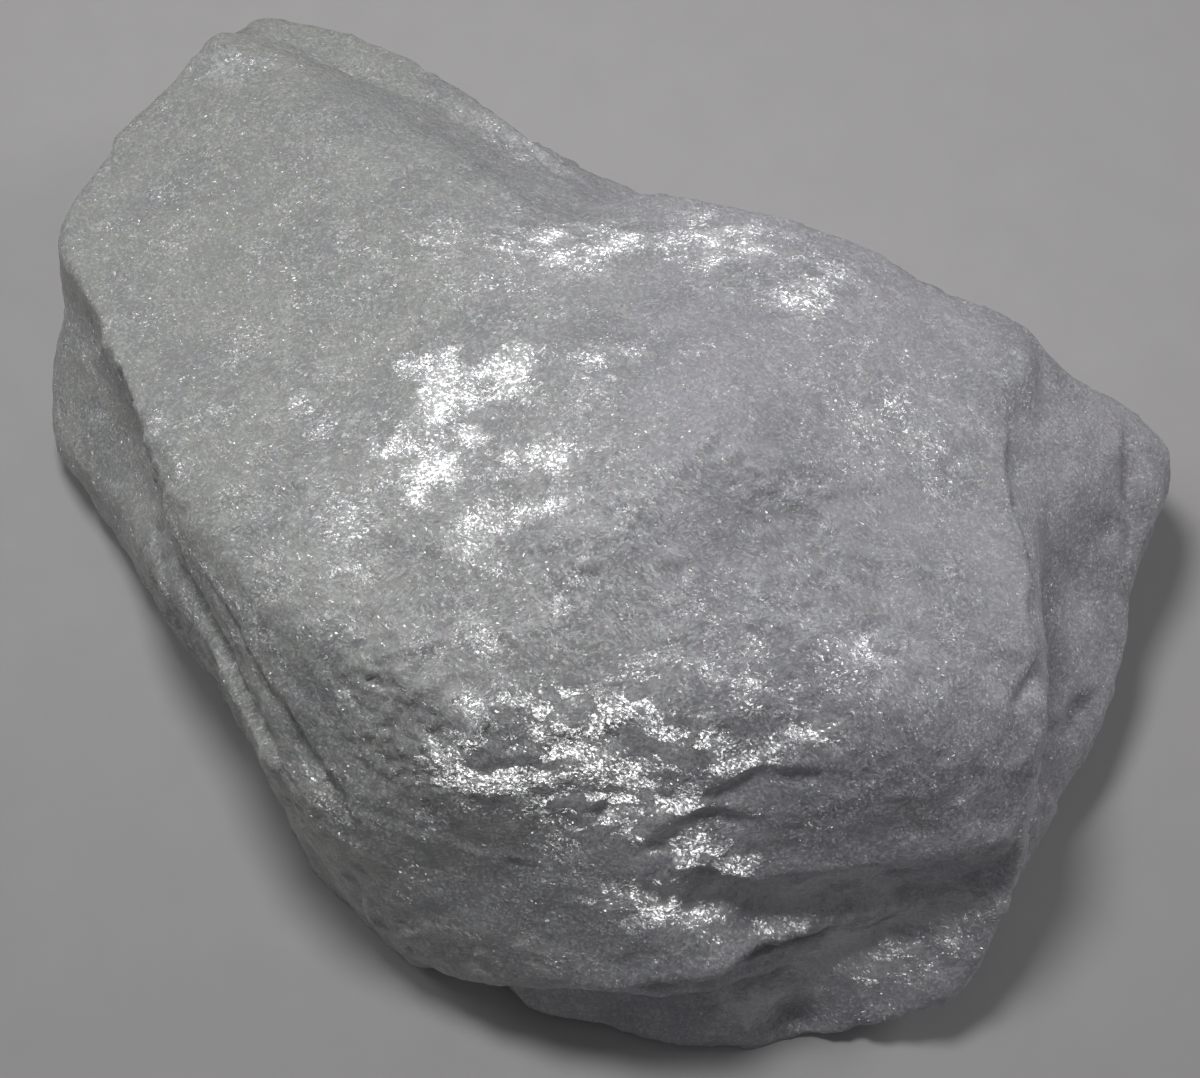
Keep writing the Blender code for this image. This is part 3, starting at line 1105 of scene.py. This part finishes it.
    def glint_normal(self, tree: Tree, felt: Felt) -> Socket:
        """The glints' normal: in some domains the surface's own, in others the beds', tilted by each crystal.

        Args:
            tree: the node tree.
            felt: its patterns. Where the break is fresh it has split along the beds, and the tilts are less.

        Returns:
            A unit vector.
        """
        second = add_node(tree, "SeparateColor", {}, {0: felt.domain}, 1)
        split = add_node(tree, "Math", WEIGHTED_SUM, {0: felt.fresh, 1: self.fresh_split, 2: second})
        by_beds = add_node(tree, "MapRange", SMOOTHLY, from_to(split, (0.0, 1.1), self.bed_share))
        ways = {0: by_beds, 4: felt.facing, 5: outward(*self.bed_dip).tolist()}
        leaning = add_node(tree, "Mix", {"data_type": "VECTOR"}, ways, 1)
        tilt = (0.0, 0.0, 0.0)
        for pattern, amount in zip((felt.domain, felt.crystal, felt.grain), self.glint_tilts):
            tilt = self.tilted(tree, tilt, pattern, amount)
        order = add_node(tree, "MapRange", SMOOTHLY, from_to(felt.fresh, (0.1, 0.9), self.tilts_kept))
        tilt = add_node(tree, "VectorMath", {"operation": "SCALE"}, {0: tilt, "Scale": order})
        normal = add_node(tree, "VectorMath", {"operation": "ADD"}, {0: leaning, 1: tilt})
        return add_node(tree, "VectorMath", {"operation": "NORMALIZE"}, {0: normal})

    def body_normal(self, tree: Tree, felt: Felt) -> Socket:
        """The body's normal: the surface's own, tilted by the same crystals under their milky skin.

        Args:
            tree: the node tree.
            felt: its patterns.

        Returns:
            A unit vector.
        """
        normal = felt.facing
        for pattern, amount in zip((felt.crystal, felt.grain), self.body_tilts):
            normal = self.tilted(tree, normal, pattern, amount)
        return add_node(tree, "VectorMath", {"operation": "NORMALIZE"}, {0: normal})

    def colour(self, tree: Tree, felt: Felt) -> Socket:
        """The body's colour: from one end of the stone to the other, with clearer clouds, white in
        streaks and where the break is fresh, partly bruised crystal and partly painted glint bloom, dusty
        between grains, and with a few cracks.

        Args:
            tree: the node tree.
            felt: its patterns.

        Returns:
            The colour.
        """
        along = add_node(tree, "SeparateXYZ", {}, {0: self.strayed(tree, felt.place, *self.ends_fray)})
        rough = {"Scale": 1 / self.cloud_mm, "Detail": 7.0, "Roughness": 0.62}
        clouds = add_node(tree, "TexNoise", {}, {"Vector": felt.place, **rough}, "Fac")
        # Mask of the white: bruised crystal and painted glint bloom, from freshness and streaks.
        bruised = add_node(tree, "Math", WEIGHTED_SUM, {0: felt.fresh, 1: self.fresh_bruise_and_bloom, 2: felt.feather})
        crystal = add_node(tree, "SeparateColor", {}, {0: felt.crystal}).node.outputs
        grain = add_node(tree, "SeparateColor", {}, {0: felt.grain}).node.outputs
        # Each pattern, from where to where it changes, how much of the colour that brings, and the colour.
        layers = (
            (along, self.ends_mm, (0.0, 1.0), self.right),
            (clouds, (0.62, 0.36), (0.0, 0.6), self.clear),
            # This layer paints glint bloom white where the break is fresh or streaked, along with bruised
            # crystal.
            (bruised, (0.56, 0.92), (0.0, 0.85), self.bruise_and_bloom_white),
            (grain[1], (0.0, 1.0), (0.0, 0.16), self.stain),
            (crystal[1], (0.78, 1.0), (0.0, 0.3), self.bruise_and_bloom_white),
            (grain[2], (0.78, 1.0), (0.0, 0.3), self.bruise_and_bloom_white),
        )
        body = linear(self.left)
        for pattern, start, end, colour in layers:
            part = add_node(tree, "MapRange", SMOOTHLY, from_to(pattern, start, end))
            body = add_node(tree, "Mix", {"data_type": "RGBA"}, {0: part, 6: body, 7: linear(colour)}, 2)
        body = add_node(tree, "Mix", {"data_type": "RGBA"}, {0: self.sheen, 6: body, 7: felt.crystal}, 2)
        crack = self.cracks(tree, felt)
        return add_node(tree, "Mix", {"data_type": "RGBA"}, {0: crack, 6: body, 7: linear(self.stain)}, 2)

    def cracks(self, tree: Tree, felt: Felt) -> Socket:
        """Hairlines between crystals, here and there.

        Args:
            tree: the node tree.
            felt: its patterns.

        Returns:
            How dusty a crack is: 0 beside it, and up to crack_dust in it.
        """
        torn = self.strayed(tree, felt.place, *self.crack_fray)
        across = {"Vector": torn, "Scale": 1 / self.crack_mm}
        gap = add_node(tree, "TexVoronoi", {"feature": "DISTANCE_TO_EDGE"}, across, "Distance")
        inside = add_node(tree, "MapRange", SMOOTHLY, from_to(gap, self.crack_edge, (0.0, 1.0)))
        dust = (0.0, self.crack_dust)
        there = add_node(tree, "MapRange", SMOOTHLY, from_to(felt.feather, (0.5, 0.62), dust))
        return add_node(tree, "Math", {"operation": "MULTIPLY"}, {0: inside, 1: there})

    def glassiness(self, tree: Tree, felt: Felt) -> Socket:
        """How glassy the crystals are: a few domains, more where the break is fresh, and some lone crystals.

        Args:
            tree: the node tree.
            felt: its patterns.

        Returns:
            A number from 0 to 1.
        """
        domain = add_node(tree, "SeparateColor", {}, {0: felt.domain})
        crystal = add_node(tree, "SeparateColor", {}, {0: felt.crystal})
        by_fresh, by_domain, by_feather = self.glassy_shares
        chance = add_node(tree, "Math", {"operation": "MULTIPLY"}, {0: felt.fresh, 1: by_fresh})
        for pattern, share in ((domain, by_domain), (felt.feather, by_feather)):
            chance = add_node(tree, "Math", WEIGHTED_SUM, {0: pattern, 1: share, 2: chance})
        patch = add_node(tree, "MapRange", SMOOTHLY, from_to(chance, self.glassy_from, (0.0, 1.0)))
        lone = add_node(tree, "MapRange", SMOOTHLY, from_to(crystal, (0.86, 1.0), self.lone_glassiness))
        return add_node(tree, "Math", {"operation": "MAXIMUM"}, {0: patch, 1: lone})

    def strayed(self, tree: Tree, vector: Socket, wavelength: float, amplitude: float) -> Socket:
        """Moves places about by noise.

        Args:
            tree: the node tree.
            vector: places in mm.
            wavelength: the noise's, in mm.
            amplitude: how far it moves them at most, in mm.

        Returns:
            The moved places.
        """
        soft = {"Scale": 1 / wavelength, "Detail": 3.0}
        noise = add_node(tree, "TexNoise", {}, {"Vector": vector, **soft}, "Color")
        return self.tilted(tree, vector, noise, 2 * amplitude)

    def tilted(self, tree: Tree, vector: Socket | Place, colour: Socket, by: float) -> Socket:
        """Adds (colour - 0.5) * by to a vector.

        Args:
            tree: the node tree.
            vector: the vector.
            colour: three numbers from 0 to 1.
            by: how much of them is added.

        Returns:
            The vector with the numbers added.
        """
        centred = add_node(tree, "VectorMath", {"operation": "SUBTRACT"}, {0: colour, 1: (0.5, 0.5, 0.5)})
        return add_node(tree, "VectorMath", WEIGHTED_SUM, {0: centred, 1: (by, by, by), 2: vector})

    def cells(self, tree: Tree, vector: Socket, sizes: Place) -> Socket:
        """Fills space with cells, each with three random numbers of its own.

        Args:
            tree: the node tree.
            vector: places in mm.
            sizes: a cell's three sizes in mm.

        Returns:
            The cell's numbers, as a colour.
        """
        per_cell = [1 / size for size in sizes]
        scaled = add_node(tree, "Mapping", {}, {"Vector": vector, "Scale": per_cell})
        return add_node(tree, "TexVoronoi", {}, {"Vector": scaled, "Scale": 1.0}, "Color")


@dataclass(frozen=True)
class MattCard:
    """Uncoated card: pulp pressed flat, pale grey, with faint clouds where the fibres lie thicker."""

    paper: str = "cccaca"
    shade: str = "c4c2c3"
    cloud_mm: float = 6.0
    roughness: float = 0.85

    def build(self) -> bpy.types.Material:
        """Makes the material.

        Returns:
            The material.
        """
        material = empty_material("matt card")
        tree = material.node_tree
        place = add_node(tree, "TexCoord", {}, {}, "Object")
        soft = {"Scale": 1 / (self.cloud_mm * MM), "Detail": 5.0}
        clouds = add_node(tree, "TexNoise", {}, {"Vector": place, **soft}, "Fac")
        tones = {0: clouds, 6: linear(self.shade), 7: linear(self.paper)}
        colour = add_node(tree, "Mix", {"data_type": "RGBA"}, tones, 2)
        look = {"Base Color": colour, "Roughness": self.roughness}
        shader = add_node(tree, "BsdfPrincipled", {}, look)
        add_node(tree, "OutputMaterial", {}, {"Surface": shader})
        return material


# The studio --------------------------------------------------


@dataclass(frozen=True)
class Lamp:
    """A round soft light, turned to the stone.

    Attributes:
        name: the light's name.
        azimuth, elevation: where it hangs, in degrees.
        distance_mm: how far from the target.
        width_mm: how wide it is.
        watts: its power.
    """

    name: str
    azimuth: float
    elevation: float
    distance_mm: float
    width_mm: float
    watts: float

    def hang(self, target: Vector) -> None:
        """Hangs the light.

        Args:
            target: what it is turned to, in mm.
        """
        data = bpy.data.lights.new(self.name, "AREA")
        data.shape = "DISK"
        data.size = self.width_mm * MM
        data.energy = self.watts
        lamp = put(self.name, data)
        way = Vector(outward(self.azimuth, 90 - self.elevation))
        lamp.location = (target + way * self.distance_mm) * MM
        lamp.rotation_euler = (-way).to_track_quat("-Z", "Y").to_euler()


@dataclass
class Studio:
    """A sheet of card, a soft light high behind the stone, one at each side, a dim room, and the camera.

    Attributes:
        floor_mm: the sheet's side.
        target_mm: what the camera and the lights are turned to.
        view_elevation: the camera's height above the horizon, in degrees. It looks along +Y.
        view_width_mm: how much it takes in across the frame, at the target.
        lens_mm, sensor_mm: its focal length and its sensor's width.
        view_range_m: how near and how far it sees.
        lamps: the lights.
        room_colour, room_strength: the dim room's tone.
    """

    floor_mm: float = 1600.0
    target_mm: Place = (0.0, -7.75, 18.0)
    view_elevation: float = 68.0
    view_width_mm: float = 109.15
    lens_mm: float = 85.0
    sensor_mm: float = 36.0
    lamps: tuple[Lamp, ...] = (
        Lamp("key", azimuth=122.0, elevation=74.0, distance_mm=270.0, width_mm=70.0, watts=0.29),
        Lamp("left panel", azimuth=150.0, elevation=26.0, distance_mm=600.0, width_mm=220.0, watts=0.48),
        Lamp("right panel", azimuth=25.0, elevation=26.0, distance_mm=600.0, width_mm=240.0, watts=0.62),
    )
    room_colour: str = "f4f4f8"
    room_strength: float = 0.09
    view_range_m: Pair = (0.01, 10.0)

    def lay_floor(self) -> None:
        """Lays the sheet of card, level with the stone's sole, and keeps it off the part's list."""
        half = self.floor_mm * MM / 2
        mesh = bpy.data.meshes.new("card_sheet")
        corners = [(-half, -half, 0), (half, -half, 0), (half, half, 0), (-half, half, 0)]
        mesh.from_pydata(corners, [], [(0, 1, 2, 3)])
        mesh.materials.append(MattCard().build())
        put("card_sheet", mesh)

    def set_lights(self) -> None:
        """Hangs the lamps and dims the room."""
        for lamp in self.lamps:
            lamp.hang(Vector(self.target_mm))
        room = bpy.data.worlds.new("room")
        room.use_nodes = True
        background = room.node_tree.nodes["Background"]
        background.inputs["Color"].default_value = linear(self.room_colour)
        background.inputs["Strength"].default_value = self.room_strength
        bpy.context.scene.world = room

    def set_camera(self) -> None:
        """Sets the camera: distance = width taken in * lens / sensor."""
        data = bpy.data.cameras.new("camera")
        data.lens = self.lens_mm
        data.sensor_width = self.sensor_mm
        data.clip_start, data.clip_end = self.view_range_m
        camera = put("camera", data)
        way = Vector(outward(270, 90 - self.view_elevation))
        distance = self.view_width_mm * self.lens_mm / self.sensor_mm
        camera.location = (Vector(self.target_mm) + way * distance) * MM
        camera.rotation_euler = (-way).to_track_quat("-Z", "Y").to_euler()
        bpy.context.scene.camera = camera

    def build(self) -> None:
        """Sets up the whole studio, with plain tones that aren't remapped."""
        self.lay_floor()
        self.set_lights()
        self.set_camera()
        bpy.context.scene.view_settings.view_transform = "Standard"


def main() -> None:
    """Builds the stone and the studio."""
    logging.basicConfig(level=logging.INFO, format="%(name)s: %(message)s")
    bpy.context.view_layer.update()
    stone = Stone().build("anhydrite")
    stone.data.materials.append(MassiveAnhydrite().build())
    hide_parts("anhydrite")
    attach(stone, "root")
    log.info("%s: %d cells", stone.name, len(stone.data.polygons))
    Studio().build()
    log.info("studio ready")


if __name__ == "__main__":
    main()
